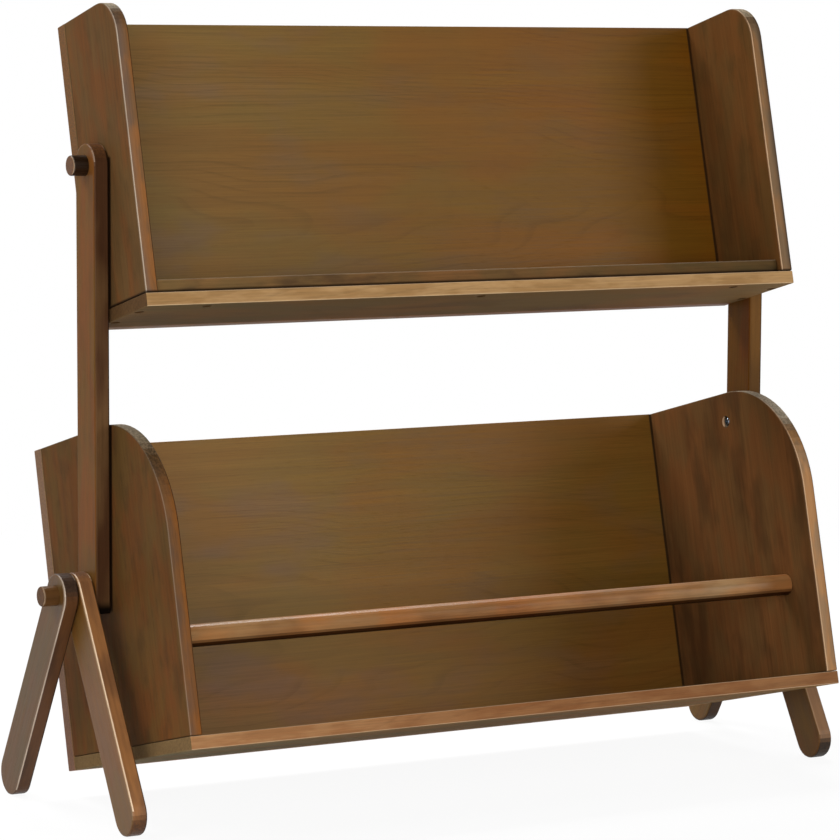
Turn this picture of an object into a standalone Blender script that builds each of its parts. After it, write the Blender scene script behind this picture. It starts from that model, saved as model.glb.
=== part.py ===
"""A two-tier book rack in stained wood.

Two L-shaped troughs lean back between two upright posts. Each post stands on a pair of
splayed legs, and a round wooden peg runs through the legs and the foot of the post into
the lower trough. A second peg carries the upper trough at the top of the post.

Metres, +Z up, the front faces -Y. The origin lies on the floor under the middle of the
rack. A trough's own frame has its origin on its peg's axis, +Y towards its back and +Z
up along its back panel.
"""

import math
from collections import namedtuple

import bmesh
import bpy
from mathutils import Euler, Matrix, Vector

# Boards of both troughs
TROUGH_LENGTH = 0.850
BACK_THICKNESS = 0.018
BOTTOM_THICKNESS = 0.015
SIDE_THICKNESS = 0.015
BOARD_EDGE = 0.0010
SIDE_EDGE = 0.0015

# Upper trough
UPPER_TILT = math.radians(14.4)
UPPER_HEIGHT = 0.3435
UPPER_DEPTH = 0.148
UPPER_CORNER = 0.044
UPPER_PEG_FROM_BACK = 0.072
UPPER_PEG_FROM_BOTTOM = 0.171

# Book stop along the front of the upper trough
LIP_HEIGHT = 0.015
LIP_THICKNESS = 0.013
LIP_SETBACK = 0.008
LIP_EDGE = 0.0015

# Lower trough
LOWER_TILT = math.radians(14.1)
LOWER_HEIGHT = 0.3695
LOWER_DEPTH = 0.325
LOWER_CORNER = 0.135
LOWER_PEG_FROM_BACK = 0.1455
LOWER_PEG_FROM_BOTTOM = 0.190

# Round rail across the lower trough
RAIL_RADIUS = 0.0125
RAIL_FROM_BACK = 0.2655
RAIL_FROM_BOTTOM = 0.1251
RAIL_TENON_RADIUS = 0.006
RAIL_TENON_LENGTH = 0.009
RAIL_SHOULDER = 0.0006

# Posts and legs
PEG_SPACING = 0.472
POST_WIDTH = 0.048
POST_THICKNESS = 0.018
POST_FOOT = 0.021
LEG_WIDTH = 0.048
LEG_THICKNESS = 0.018
LEG_SPAN = 0.259
LEG_SPLAY = math.radians(30.5)
FOOT_FLAT = 0.003
BAR_EDGE = 0.0020

# Pegs, the washers on them, and the pins that lock what they carry
PEG_RADIUS = 0.01125
PEG_PROUD = 0.018
PEG_SEAT = 0.009
PEG_EDGE = 0.0018
WASHER_RADIUS = 0.015
WASHER_THICKNESS = 0.001
LEG_WASHER_THICKNESS = 0.0005
LEG_PIN_RADIUS = 0.002
LEG_PIN_OFFSET = 0.018
LEG_PIN_SEAT = 0.008
DOWEL_RADIUS = 0.004
DOWEL_DROP = 0.090
DOWEL_SEAT = 0.009
PIN_EDGE = 0.0006

# Furniture screws that join the boards
SCREW_HEAD_RADIUS = 0.00475
SCREW_HEAD_HEIGHT = 0.0032
SCREW_SHANK_RADIUS = 0.0025
SCREW_LENGTH = 0.040
LIP_SCREW_LENGTH = 0.020
SCREW_TIP = 0.004
SCREW_SOCKET_RADIUS = 0.0020
SCREW_SOCKET_DEPTH = 0.0018
COUNTERBORE_RADIUS = 0.0055
COUNTERBORE_DEPTH = 0.005
UPPER_SCREW_FRONT = 0.111
UPPER_SCREW_REAR = 0.048
LOWER_SCREW_FRONT = 0.275
LOWER_SCREW_REAR = 0.060
SIDE_SCREW_LOW = 0.062
SIDE_SCREW_FROM_TOP = 0.050
BACK_SCREW_FROM_END = 0.100
LIP_SCREW_FROM_END = 0.078

# Bolts that hold the lower trough's sides to the posts
BOLT_FROM_TOP = 0.036
BOLT_HEAD_RADIUS = 0.0050
BOLT_HEAD_HEIGHT = 0.0036
BOLT_SHANK_RADIUS = 0.003
BOLT_SEAT = 0.012
BOLT_CROWN = 0.0010
BOLT_SOCKET_RADIUS = 0.0022
BOLT_SOCKET_DEPTH = 0.0022
BOLT_BORE_RADIUS = 0.006
BOLT_BORE_DEPTH = 0.0052
BOLT_RIM = 0.0014

# Fits
JOINT_GAP = 0.0003
OVERRUN = 0.002
WELD = 0.00001

# How finely round stretches are divided
ARC_STEPS = 16
CORNER_STEPS = 12
WIDE_CORNER_STEPS = 20
PEG_STEPS = 24
WASHER_STEPS = 16
RAIL_STEPS = 24
SMALL_STEPS = 12
EDGE_STEPS = 2
END_STEPS = 3
SHARP_ANGLE = math.radians(35)
FLAT_ANGLE = math.radians(1)

# Worked out from the sizes above
HALF_LENGTH = TROUGH_LENGTH / 2
SIDE_INNER = HALF_LENGTH - SIDE_THICKNESS
SIDE_MIDDLE = HALF_LENGTH - SIDE_THICKNESS / 2
SIDE_GAP = WASHER_THICKNESS + 2 * JOINT_GAP
LEG_GAP = LEG_WASHER_THICKNESS + 2 * JOINT_GAP
POST_INNER = HALF_LENGTH + SIDE_GAP
POST_OUTER = POST_INNER + POST_THICKNESS
FRONT_LEG_INNER = POST_OUTER + LEG_GAP
FRONT_LEG_OUTER = FRONT_LEG_INNER + LEG_THICKNESS
REAR_LEG_INNER = FRONT_LEG_OUTER + LEG_GAP
REAR_LEG_OUTER = REAR_LEG_INNER + LEG_THICKNESS
FOOT_RADIUS = LEG_WIDTH / 2
FOOT_HALF_ANGLE = math.asin(FOOT_FLAT / LEG_WIDTH)
LOWER_PEG_HEIGHT = LEG_SPAN * math.cos(LEG_SPLAY) + FOOT_RADIUS * math.cos(FOOT_HALF_ANGLE)
UPPER_PEG_HEIGHT = LOWER_PEG_HEIGHT + PEG_SPACING
LOWER_SIDE_RISE = (LOWER_HEIGHT - LOWER_PEG_FROM_BOTTOM) / math.cos(LOWER_TILT)
BOLT_HEIGHT = LOWER_PEG_HEIGHT + LOWER_SIDE_RISE - BOLT_FROM_TOP
PANEL_TURN = Euler((math.pi / 2, 0, math.pi / 2)).to_matrix().to_4x4()

SIDES = (("left", -1), ("right", 1))

Trough = namedtuple(
    "Trough",
    "name tilt height depth corner corner_steps peg_from_back peg_from_bottom peg_height"
    " screw_rear screw_front",
)

UPPER = Trough(
    "upper", UPPER_TILT, UPPER_HEIGHT, UPPER_DEPTH, UPPER_CORNER, CORNER_STEPS,
    UPPER_PEG_FROM_BACK, UPPER_PEG_FROM_BOTTOM, UPPER_PEG_HEIGHT,
    UPPER_SCREW_REAR, UPPER_SCREW_FRONT,
)
LOWER = Trough(
    "lower", LOWER_TILT, LOWER_HEIGHT, LOWER_DEPTH, LOWER_CORNER, WIDE_CORNER_STEPS,
    LOWER_PEG_FROM_BACK, LOWER_PEG_FROM_BOTTOM, LOWER_PEG_HEIGHT,
    LOWER_SCREW_REAR, LOWER_SCREW_FRONT,
)


def rack_middle():
    """How far the rack's middle lies behind the pegs, from its foremost to its rearmost point."""
    toe = LEG_SPAN * math.sin(LEG_SPLAY) + FOOT_RADIUS
    turned = frame_matrix(LOWER)
    front = turned @ trough_point(LOWER, 0, LOWER.depth, 0)
    rear = turned @ trough_point(LOWER, 0, 0, LOWER.height)
    return (min(front.y, -toe) + max(rear.y, toe)) / 2


def clear_scene():
    for obj in list(bpy.data.objects):
        bpy.data.objects.remove(obj, do_unlink=True)


def new_collection(name, parent):
    collection = bpy.data.collections.new(name)
    parent.children.link(collection)
    return collection


def principled(name, colour, roughness, metallic=0.0):
    material = bpy.data.materials.new(name)
    material.use_nodes = True
    shader = material.node_tree.nodes["Principled BSDF"]
    shader.inputs["Base Color"].default_value = (*colour, 1.0)
    shader.inputs["Roughness"].default_value = roughness
    shader.inputs["Metallic"].default_value = metallic
    return material


def board_stain():
    return principled("olive_walnut_stain", (0.16, 0.090, 0.032), 0.42)


def side_stain():
    return principled("red_walnut_stain", (0.145, 0.067, 0.027), 0.40)


def bar_stain():
    return principled("walnut_bar_stain", (0.17, 0.085, 0.040), 0.38)


def peg_stain():
    return principled("dark_walnut_stain", (0.105, 0.043, 0.018), 0.36)


def rail_stain():
    return principled("walnut_rail_stain", (0.19, 0.090, 0.040), 0.35)


def screw_zinc():
    return principled("black_zinc", (0.12, 0.12, 0.13), 0.35, 1.0)


def washer_fibre():
    return principled("dark_fibre", (0.03, 0.025, 0.02), 0.7)


def beech_dowel():
    return principled("bare_beech", (0.55, 0.38, 0.22), 0.6)


# Outlines lie in a plate's own plane as (y, z) points, listed anticlockwise.


def arc(centre_y, centre_z, radius, start, end, steps):
    angles = [start + (end - start) * i / steps for i in range(steps + 1)]
    return [(centre_y + radius * math.cos(a), centre_z + radius * math.sin(a)) for a in angles]


def side_outline(trough):
    front = trough.peg_from_back - trough.depth
    rear = trough.peg_from_back - BACK_THICKNESS - JOINT_GAP
    bottom = BOTTOM_THICKNESS + JOINT_GAP - trough.peg_from_bottom
    top = trough.height - trough.peg_from_bottom
    corner = trough.corner
    rounded = arc(front + corner, top - corner, corner, math.pi / 2, math.pi, trough.corner_steps)
    return [(front, bottom), (rear, bottom), (rear, top)] + rounded


def post_outline():
    half = POST_WIDTH / 2
    return [(-half, -POST_FOOT), (half, -POST_FOOT)] + arc(0, PEG_SPACING, half, 0, math.pi, ARC_STEPS)


def leg_outline(lean):
    """A bar with two round ends. Its foot has a narrow flat where the splayed leg meets the floor."""
    floor = -math.pi / 2 - lean * LEG_SPLAY
    before = floor - FOOT_HALF_ANGLE
    after = floor + FOOT_HALF_ANGLE
    share = (before + math.pi) / math.pi
    steps = max(2, round(ARC_STEPS * share))
    foot = arc(0, -LEG_SPAN, FOOT_RADIUS, -math.pi, before, steps)
    foot += arc(0, -LEG_SPAN, FOOT_RADIUS, after, 0, max(2, ARC_STEPS - steps))
    return foot + arc(0, 0, FOOT_RADIUS, 0, math.pi, ARC_STEPS)


def box_mesh(name, size):
    mesh = bpy.data.meshes.new(name)
    shape = bmesh.new()
    bmesh.ops.create_cube(shape, size=1, matrix=Matrix.Diagonal((*size, 1)))
    shape.to_mesh(mesh)
    shape.free()
    return mesh


def plate_mesh(name, outline, thickness):
    """The outline, filled and made thick, standing in the YZ plane with its thickness along X."""
    curve = bpy.data.curves.new(name, "CURVE")
    curve.dimensions = "2D"
    curve.fill_mode = "BOTH"
    curve.extrude = thickness / 2
    spline = curve.splines.new("POLY")
    spline.points.add(len(outline) - 1)
    for point, (y, z) in zip(spline.points, outline):
        point.co = (y, z, 0, 1)
    spline.use_cyclic_u = True
    guide = bpy.data.objects.new(name, curve)
    bpy.context.scene.collection.objects.link(guide)
    graph = bpy.context.evaluated_depsgraph_get()
    mesh = bpy.data.meshes.new_from_object(guide.evaluated_get(graph))
    bpy.data.objects.remove(guide, do_unlink=True)
    bpy.data.curves.remove(curve)
    shape = bmesh.new()
    shape.from_mesh(mesh)
    bmesh.ops.remove_doubles(shape, verts=shape.verts, dist=WELD)
    bmesh.ops.dissolve_limit(shape, angle_limit=FLAT_ANGLE, verts=shape.verts, edges=shape.edges)
    bmesh.ops.recalc_face_normals(shape, faces=shape.faces)
    shape.transform(PANEL_TURN)
    shape.to_mesh(mesh)
    shape.free()
    return mesh


def profile_mesh(name, profile, closed=False):
    """A profile of (radius, height) points at +X, running down the outer side."""
    mesh = bpy.data.meshes.new(name)
    count = len(profile)
    edges = [(i, (i + 1) % count) for i in range(count if closed else count - 1)]
    mesh.from_pydata([(radius, 0, height) for radius, height in profile], edges, [])
    return mesh


def turn(obj, steps):
    screw = obj.modifiers.new("turned", "SCREW")
    screw.axis = "Z"
    screw.steps = steps
    screw.render_steps = steps
    screw.use_merge_vertices = True
    screw.merge_threshold = WELD
    screw.use_smooth_shade = True
    return obj


def ease(obj, width):
    bevel = obj.modifiers.new("eased_edges", "BEVEL")
    bevel.width = width
    bevel.segments = EDGE_STEPS
    bevel.limit_method = "ANGLE"
    bevel.angle_limit = SHARP_ANGLE
    bevel.use_clamp_overlap = True
    return obj


def smooth(mesh):
    mesh.shade_smooth()
    mesh.set_sharp_from_angle(angle=SHARP_ANGLE)


def put(obj, place, parent):
    """Sets an object at a place that is given in its parent's frame."""
    obj.parent = parent
    obj.location, obj.rotation_euler = place.to_translation(), place.to_euler()
    return obj


def add_part(name, mesh, material, place, parent=None):
    obj = bpy.data.objects.new(name, mesh)
    mesh.materials.append(material)
    PARTS.objects.link(obj)
    return put(obj, place, parent or RACK_FRAME)


def add_frame(name, place, parent):
    """An empty that carries the parts placed in its frame."""
    frame = bpy.data.objects.new(name, None)
    frame.empty_display_size = PEG_RADIUS
    PARTS.objects.link(frame)
    return put(frame, place, parent)


def frame_matrix(trough):
    return Matrix.Translation((0, 0, trough.peg_height)) @ Matrix.Rotation(-trough.tilt, 4, "X")


def facing(point, outward):
    """A place whose +Z points outward."""
    turned = Vector(outward).to_track_quat("Z", "Y").to_matrix().to_4x4()
    return Matrix.Translation(point) @ turned


def bore(name, profile, place, steps, pieces):
    """Cuts one turned hole through every piece that it passes."""
    cutter = bpy.data.objects.new(name, profile_mesh(name, profile))
    put(turn(cutter, steps), place, RACK_FRAME)
    cutter.hide_render = True
    cutter.display_type = "WIRE"
    for piece in pieces:
        cuts = bpy.data.collections.get("cuts_" + piece.name)
        if cuts is None:
            cuts = new_collection("cuts_" + piece.name, CUTTERS)
            cut = piece.modifiers.new("holes", "BOOLEAN")
            cut.operation = "DIFFERENCE"
            cut.solver = "EXACT"
            cut.operand_type = "COLLECTION"
            cut.collection = cuts
        cuts.objects.link(cutter)


def plain_hole(radius, top, bottom):
    return [(0, top), (radius, top), (radius, bottom), (0, bottom)]


def rod_profile(radius, top, bottom, edge):
    """A rod with both rims rounded."""
    upper = arc(radius - edge, top - edge, edge, math.pi / 2, 0, END_STEPS)
    lower = arc(radius - edge, bottom + edge, edge, 0, -math.pi / 2, END_STEPS)
    return [(0, top)] + upper + lower + [(0, bottom)]


def head_profile(radius, height, socket_radius, socket_depth, crown=0):
    """A screw head above height zero, with a round recess for the driver and perhaps a chamfer."""
    floor = height - socket_depth
    recess = [(0, floor), (socket_radius, floor), (socket_radius, height)]
    chamfer = [(radius - crown, height), (radius, height - crown)] if crown else [(radius, height)]
    return recess + chamfer + [(radius, 0)]


def shank_profile(radius, length, tip):
    """A shank below height zero, narrowing to half its width over the tip."""
    return [(radius, 0), (radius, tip - length), (radius / 2, -length), (0, -length)]


def trough_point(trough, across, from_back, from_bottom):
    return Vector((across, trough.peg_from_back - from_back, from_bottom - trough.peg_from_bottom))


def back_panel(trough, frame, stain):
    size = (TROUGH_LENGTH, BACK_THICKNESS, trough.height)
    centre = trough_point(trough, 0, BACK_THICKNESS / 2, trough.height / 2)
    mesh = box_mesh(trough.name + "_back_panel", size)
    panel = add_part(trough.name + "_back_panel", mesh, stain, Matrix.Translation(centre), frame)
    return ease(panel, BOARD_EDGE)


def bottom_panel(trough, frame, stain):
    rear = BACK_THICKNESS + JOINT_GAP
    size = (TROUGH_LENGTH, trough.depth - rear, BOTTOM_THICKNESS)
    centre = trough_point(trough, 0, (trough.depth + rear) / 2, BOTTOM_THICKNESS / 2)
    mesh = box_mesh(trough.name + "_bottom_panel", size)
    panel = add_part(trough.name + "_bottom_panel", mesh, stain, Matrix.Translation(centre), frame)
    return ease(panel, BOARD_EDGE)


def side_panel(trough, frame, side, sign, stain):
    name = f"{trough.name}_side_{side}"
    mesh = plate_mesh(name, side_outline(trough), SIDE_THICKNESS)
    smooth(mesh)
    panel = add_part(name, mesh, stain, Matrix.Translation((sign * SIDE_MIDDLE, 0, 0)), frame)
    return ease(panel, SIDE_EDGE)


def upper_lip(frame, stain):
    length = 2 * (SIDE_INNER - JOINT_GAP)
    front = UPPER.depth - LIP_SETBACK
    foot = BOTTOM_THICKNESS + JOINT_GAP
    centre = trough_point(UPPER, 0, front - LIP_THICKNESS / 2, foot + LIP_HEIGHT / 2)
    mesh = box_mesh("upper_lip", (length, LIP_THICKNESS, LIP_HEIGHT))
    return ease(add_part("upper_lip", mesh, stain, Matrix.Translation(centre), frame), LIP_EDGE)


def rail_profile():
    shoulder = SIDE_INNER - JOINT_GAP
    tenon = shoulder + RAIL_TENON_LENGTH
    flank = shoulder - RAIL_SHOULDER
    upper_half = [
        (0, tenon),
        (RAIL_TENON_RADIUS, tenon),
        (RAIL_TENON_RADIUS, shoulder),
        (RAIL_RADIUS - RAIL_SHOULDER, shoulder),
        (RAIL_RADIUS, flank),
    ]
    return upper_half + [(radius, -height) for radius, height in reversed(upper_half)]


def lower_rail(frame, side_left, side_right, stain):
    centre = trough_point(LOWER, 0, RAIL_FROM_BACK, RAIL_FROM_BOTTOM)
    place = facing(centre, (1, 0, 0))
    mesh = profile_mesh("lower_rail", rail_profile())
    rail = turn(add_part("lower_rail", mesh, stain, place, frame), RAIL_STEPS)
    reach = SIDE_INNER + RAIL_TENON_LENGTH
    socket = plain_hole(RAIL_TENON_RADIUS + JOINT_GAP, reach, -reach)
    bore("rail_sockets", socket, frame_matrix(LOWER) @ place, RAIL_STEPS, (side_left, side_right))
    return rail


def post(side, sign, stain):
    name = "post_" + side
    mesh = plate_mesh(name, post_outline(), POST_THICKNESS)
    smooth(mesh)
    place = Matrix.Translation((sign * (POST_INNER + POST_OUTER) / 2, 0, LOWER_PEG_HEIGHT))
    return ease(add_part(name, mesh, stain, place), BAR_EDGE)


def leg(name, middle, lean, stain):
    """A leg that leans to the front (lean -1) or to the rear (lean 1)."""
    mesh = plate_mesh(name, leg_outline(lean), LEG_THICKNESS)
    smooth(mesh)
    place = Matrix.Translation((middle, 0, LOWER_PEG_HEIGHT)) @ Matrix.Rotation(lean * LEG_SPLAY, 4, "X")
    return ease(add_part(name, mesh, stain, place), BAR_EDGE)


def peg(name, sign, height, outer_face, pieces, stain):
    """A round peg from its blind seat in a side panel to its proud outer end."""
    outer = outer_face + PEG_PROUD
    inner = HALF_LENGTH - PEG_SEAT
    place = facing((0, 0, height), (sign, 0, 0))
    mesh = profile_mesh(name, rod_profile(PEG_RADIUS, outer, inner, PEG_EDGE))
    turn(add_part(name, mesh, stain, place), PEG_STEPS)
    hole = plain_hole(PEG_RADIUS + JOINT_GAP, outer + OVERRUN, inner - JOINT_GAP)
    bore(name + "_bore", hole, place, PEG_STEPS, pieces)


def washer(name, sign, height, inner_face, thickness, fibre):
    """A flat ring on a peg, between two layers."""
    low = inner_face + JOINT_GAP
    high = low + thickness
    hole = PEG_RADIUS + JOINT_GAP
    ring = [(WASHER_RADIUS, high), (WASHER_RADIUS, low), (hole, low), (hole, high)]
    place = facing((0, 0, height), (sign, 0, 0))
    turn(add_part(name, profile_mesh(name, ring, closed=True), fibre, place), WASHER_STEPS)


def pin(name, radius, inner, outer, sign, height, pieces, material):
    """A straight pin along X, blind in the first and last piece that it joins."""
    place = facing((0, 0, height), (sign, 0, 0))
    mesh = profile_mesh(name, rod_profile(radius, outer, inner, PIN_EDGE))
    turn(add_part(name, mesh, material, place), SMALL_STEPS)
    hole = plain_hole(radius + JOINT_GAP, outer + JOINT_GAP, inner - JOINT_GAP)
    bore(name + "_bore", hole, place, SMALL_STEPS, pieces)


def screw(name, trough, frame, point, outward, length, pieces, zinc):
    """A board screw: its head sits in a counterbore, its shank crosses into the second piece."""
    face = facing(point, outward)
    seat = face @ Matrix.Translation((0, 0, JOINT_GAP - COUNTERBORE_DEPTH))
    head = head_profile(SCREW_HEAD_RADIUS, SCREW_HEAD_HEIGHT, SCREW_SOCKET_RADIUS, SCREW_SOCKET_DEPTH)
    profile = head + shank_profile(SCREW_SHANK_RADIUS, length, SCREW_TIP)
    turn(add_part(name, profile_mesh(name, profile), zinc, seat, frame), SMALL_STEPS)
    shank_hole = SCREW_SHANK_RADIUS + JOINT_GAP
    hole = [
        (0, OVERRUN),
        (COUNTERBORE_RADIUS, OVERRUN),
        (COUNTERBORE_RADIUS, -COUNTERBORE_DEPTH),
        (shank_hole, -COUNTERBORE_DEPTH),
        (shank_hole, -COUNTERBORE_DEPTH - length),
        (0, -COUNTERBORE_DEPTH - length),
    ]
    bore(name + "_bore", hole, frame_matrix(trough) @ face, SMALL_STEPS, pieces)


def side_screws(trough, frame, back, bottom, panel, side, sign, zinc):
    """Two screws up through the bottom panel and two forward through the back panel."""
    down, rearward = (0, 0, -1), (0, 1, 0)
    across = sign * SIDE_MIDDLE
    for end, depth in (("rear", trough.screw_rear), ("front", trough.screw_front)):
        point = trough_point(trough, across, depth, 0)
        name = f"{trough.name}_bottom_screw_{side}_{end}"
        screw(name, trough, frame, point, down, SCREW_LENGTH, (bottom, panel), zinc)
    for end, rise in (("low", SIDE_SCREW_LOW), ("high", trough.height - SIDE_SCREW_FROM_TOP)):
        point = trough_point(trough, across, 0, rise)
        name = f"{trough.name}_back_screw_{side}_{end}"
        screw(name, trough, frame, point, rearward, SCREW_LENGTH, (back, panel), zinc)


def bottom_edge_screws(trough, frame, back, bottom, zinc):
    """Three screws through the back panel into the bottom panel's rear edge."""
    end = HALF_LENGTH - BACK_SCREW_FROM_END
    for place, across in (("left", -end), ("middle", 0), ("right", end)):
        point = trough_point(trough, across, 0, BOTTOM_THICKNESS / 2)
        name = f"{trough.name}_edge_screw_{place}"
        screw(name, trough, frame, point, (0, 1, 0), SCREW_LENGTH, (back, bottom), zinc)


def lip_screws(frame, bottom, lip, zinc):
    """Three short screws up through the bottom panel into the lip."""
    depth = UPPER.depth - LIP_SETBACK - LIP_THICKNESS / 2
    end = HALF_LENGTH - LIP_SCREW_FROM_END
    for place, across in (("left", -end), ("middle", 0), ("right", end)):
        point = trough_point(UPPER, across, depth, 0)
        screw("lip_screw_" + place, UPPER, frame, point, (0, 0, -1), LIP_SCREW_LENGTH, (bottom, lip), zinc)


def post_bolt(side, sign, panel, upright, zinc):
    """A socket-head bolt from a chamfered counterbore in the side panel into the post."""
    name = "post_bolt_" + side
    face = facing((sign * SIDE_INNER, 0, BOLT_HEIGHT), (-sign, 0, 0))
    seat = face @ Matrix.Translation((0, 0, JOINT_GAP - BOLT_BORE_DEPTH))
    length = SIDE_THICKNESS - BOLT_BORE_DEPTH + SIDE_GAP + BOLT_SEAT
    head = head_profile(
        BOLT_HEAD_RADIUS, BOLT_HEAD_HEIGHT, BOLT_SOCKET_RADIUS, BOLT_SOCKET_DEPTH, BOLT_CROWN
    )
    profile = head + shank_profile(BOLT_SHANK_RADIUS, length, BOLT_CROWN)
    turn(add_part(name, profile_mesh(name, profile), zinc, seat), PEG_STEPS)
    shank_hole = BOLT_SHANK_RADIUS + JOINT_GAP
    rim = BOLT_BORE_RADIUS + BOLT_RIM
    hole = [
        (0, OVERRUN),
        (rim + OVERRUN, OVERRUN),
        (BOLT_BORE_RADIUS, -BOLT_RIM),
        (BOLT_BORE_RADIUS, -BOLT_BORE_DEPTH),
        (shank_hole, -BOLT_BORE_DEPTH),
        (shank_hole, -BOLT_BORE_DEPTH - length),
        (0, -BOLT_BORE_DEPTH - length),
    ]
    bore(name + "_bore", hole, face, PEG_STEPS, (panel, upright))


def build_trough(trough, stains):
    """The back, bottom and two side panels of one trough, screwed together."""
    frame = add_frame(trough.name + "_trough_frame", frame_matrix(trough), RACK_FRAME)
    back = back_panel(trough, frame, stains["board"])
    bottom = bottom_panel(trough, frame, stains["board"])
    panels = {}
    for side, sign in SIDES:
        panels[side] = side_panel(trough, frame, side, sign, stains["side"])
        side_screws(trough, frame, back, bottom, panels[side], side, sign, stains["zinc"])
    bottom_edge_screws(trough, frame, back, bottom, stains["zinc"])
    return frame, bottom, panels


def build_stand(side, sign, upper_side, lower_side, stains):
    """One post, its two legs, and the pegs, washers and pins that join them to the troughs."""
    upright = post(side, sign, stains["bar"])
    front_middle = sign * (FRONT_LEG_INNER + FRONT_LEG_OUTER) / 2
    rear_middle = sign * (REAR_LEG_INNER + REAR_LEG_OUTER) / 2
    front = leg("front_leg_" + side, front_middle, -1, stains["bar"])
    rear = leg("rear_leg_" + side, rear_middle, 1, stains["bar"])
    peg("upper_peg_" + side, sign, UPPER_PEG_HEIGHT, POST_OUTER, (upper_side, upright), stains["peg"])
    carried = (lower_side, upright, front, rear)
    peg("lower_peg_" + side, sign, LOWER_PEG_HEIGHT, REAR_LEG_OUTER, carried, stains["peg"])
    layers = (
        ("upper_washer_", UPPER_PEG_HEIGHT, HALF_LENGTH, WASHER_THICKNESS),
        ("lower_washer_", LOWER_PEG_HEIGHT, HALF_LENGTH, WASHER_THICKNESS),
        ("post_washer_", LOWER_PEG_HEIGHT, POST_OUTER, LEG_WASHER_THICKNESS),
        ("leg_washer_", LOWER_PEG_HEIGHT, FRONT_LEG_OUTER, LEG_WASHER_THICKNESS),
    )
    for name, height, face, thickness in layers:
        washer(name + side, sign, height, face, thickness, stains["fibre"])
    pin(
        "leg_pin_" + side, LEG_PIN_RADIUS, POST_OUTER - LEG_PIN_SEAT, REAR_LEG_INNER + LEG_PIN_SEAT,
        sign, LOWER_PEG_HEIGHT + LEG_PIN_OFFSET, (upright, front, rear), stains["zinc"],
    )
    pin(
        "upper_dowel_" + side, DOWEL_RADIUS, HALF_LENGTH - DOWEL_SEAT, POST_INNER + DOWEL_SEAT,
        sign, UPPER_PEG_HEIGHT - DOWEL_DROP, (upper_side, upright), stains["beech"],
    )
    post_bolt(side, sign, lower_side, upright, stains["zinc"])


def build_rack():
    stains = {
        "board": board_stain(),
        "side": side_stain(),
        "bar": bar_stain(),
        "peg": peg_stain(),
        "rail": rail_stain(),
        "zinc": screw_zinc(),
        "fibre": washer_fibre(),
        "beech": beech_dowel(),
    }
    upper_frame, upper_bottom, upper_sides = build_trough(UPPER, stains)
    lip = upper_lip(upper_frame, stains["side"])
    lip_screws(upper_frame, upper_bottom, lip, stains["zinc"])
    lower_frame, _, lower_sides = build_trough(LOWER, stains)
    lower_rail(lower_frame, lower_sides["left"], lower_sides["right"], stains["rail"])
    for side, sign in SIDES:
        build_stand(side, sign, upper_sides[side], lower_sides[side], stains)


clear_scene()
PARTS = new_collection("book_rack", bpy.context.scene.collection)
CUTTERS = new_collection("cutters", bpy.context.scene.collection)
CUTTERS.hide_render = True
RACK_FRAME = add_frame("rack_frame", Matrix.Translation((0, -rack_middle(), 0)), None)
build_rack()
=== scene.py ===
"""Looks for the two-tier book rack: stained woods, hardware, floor, soft light and the photo's camera."""

import math

import bpy
from mathutils import Matrix, Vector


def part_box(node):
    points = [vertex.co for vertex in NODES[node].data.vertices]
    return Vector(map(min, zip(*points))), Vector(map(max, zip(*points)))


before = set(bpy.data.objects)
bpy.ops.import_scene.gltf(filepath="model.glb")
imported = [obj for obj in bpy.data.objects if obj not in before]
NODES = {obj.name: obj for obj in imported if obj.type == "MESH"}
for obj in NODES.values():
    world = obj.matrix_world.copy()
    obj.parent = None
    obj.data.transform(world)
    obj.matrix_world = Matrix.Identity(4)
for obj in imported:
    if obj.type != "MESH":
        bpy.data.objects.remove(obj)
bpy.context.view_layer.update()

# Tilt of each trough and splay of the legs, in degrees.
UPPER_TILT, LOWER_TILT, LEG_SPLAY = 14.4, 14.1, 30.5
X_AXIS, Y_AXIS, Z_AXIS = Vector((1, 0, 0)), Vector((0, 1, 0)), Vector((0, 0, 1))
WHITE = (1, 1, 1, 1)

# Ways that a surface faces: rims worn pale with a painted highlight, rims with painted shade, and up.
WORN_LIT_CORNER, WORN_LIT_TOP, SHADED_CORNER, UP = (-0.6, -0.8, 0), (0, -0.5, 0.866), (0.6, -0.8, 0), (0, 0, 1)
# How squarely a surface has to face one of those ways: where its mask starts and where it is full.
CORNER_SPAN, TOP_SPAN, FRONT_SPAN, OUTER_SPAN = (0.60, 0.85), (0.86, 0.97), (0.3, 0.7), (0.8, 0.95)
# The same for rims, between a wide and a narrow face, and for narrow faces.
RIM_RISE, RIM_FALL, NARROW_SPAN = (0.12, 0.38), (0.84, 0.96), (0.25, 0.75)
# How much further end grain and the painted sheen on tops have to face their way to show in full.
END_SPAN, ARC_SPAN = 0.5, 0.16
# In metres: how near a straight panel's long edge its edge colour starts and is full, the darkest
# core of seams, and the painted shadow band along a post's front edge.
EDGE_FROM, EDGE_FULL, SEAM_CORE = 0.003, 0.0015, 0.0006
STRIP_RISE, STRIP_FALL, STRIP_END = (-0.0014, -0.0002), (0.006, 0.008), 0.004
# In metres from the piece's far end: where its last tint, a painted shade, starts and is full.
LAST_FROM, LAST_FULL = 0.085, 0.035
# The share of a panel's height, from its low side, over which its low tint, a painted light, fades.
LOW_SHARE = 0.5
# Noise scales along, across and through the grain, in features per metre.
SMALL_BENDS, PATCHES, PORES, SPECKS = (7, 40, 40), (5, 16, 16), (55, 1100, 1100), (300, 420, 420)
# How far the small bends push the rings, in metres.
SMALL_BEND = 0.002
# Where a ring's late wood is full and over which part it ends, as shares of the ring.
LATE_FULL, LATE_END = 0.90, (0.95, 1.0)
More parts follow.
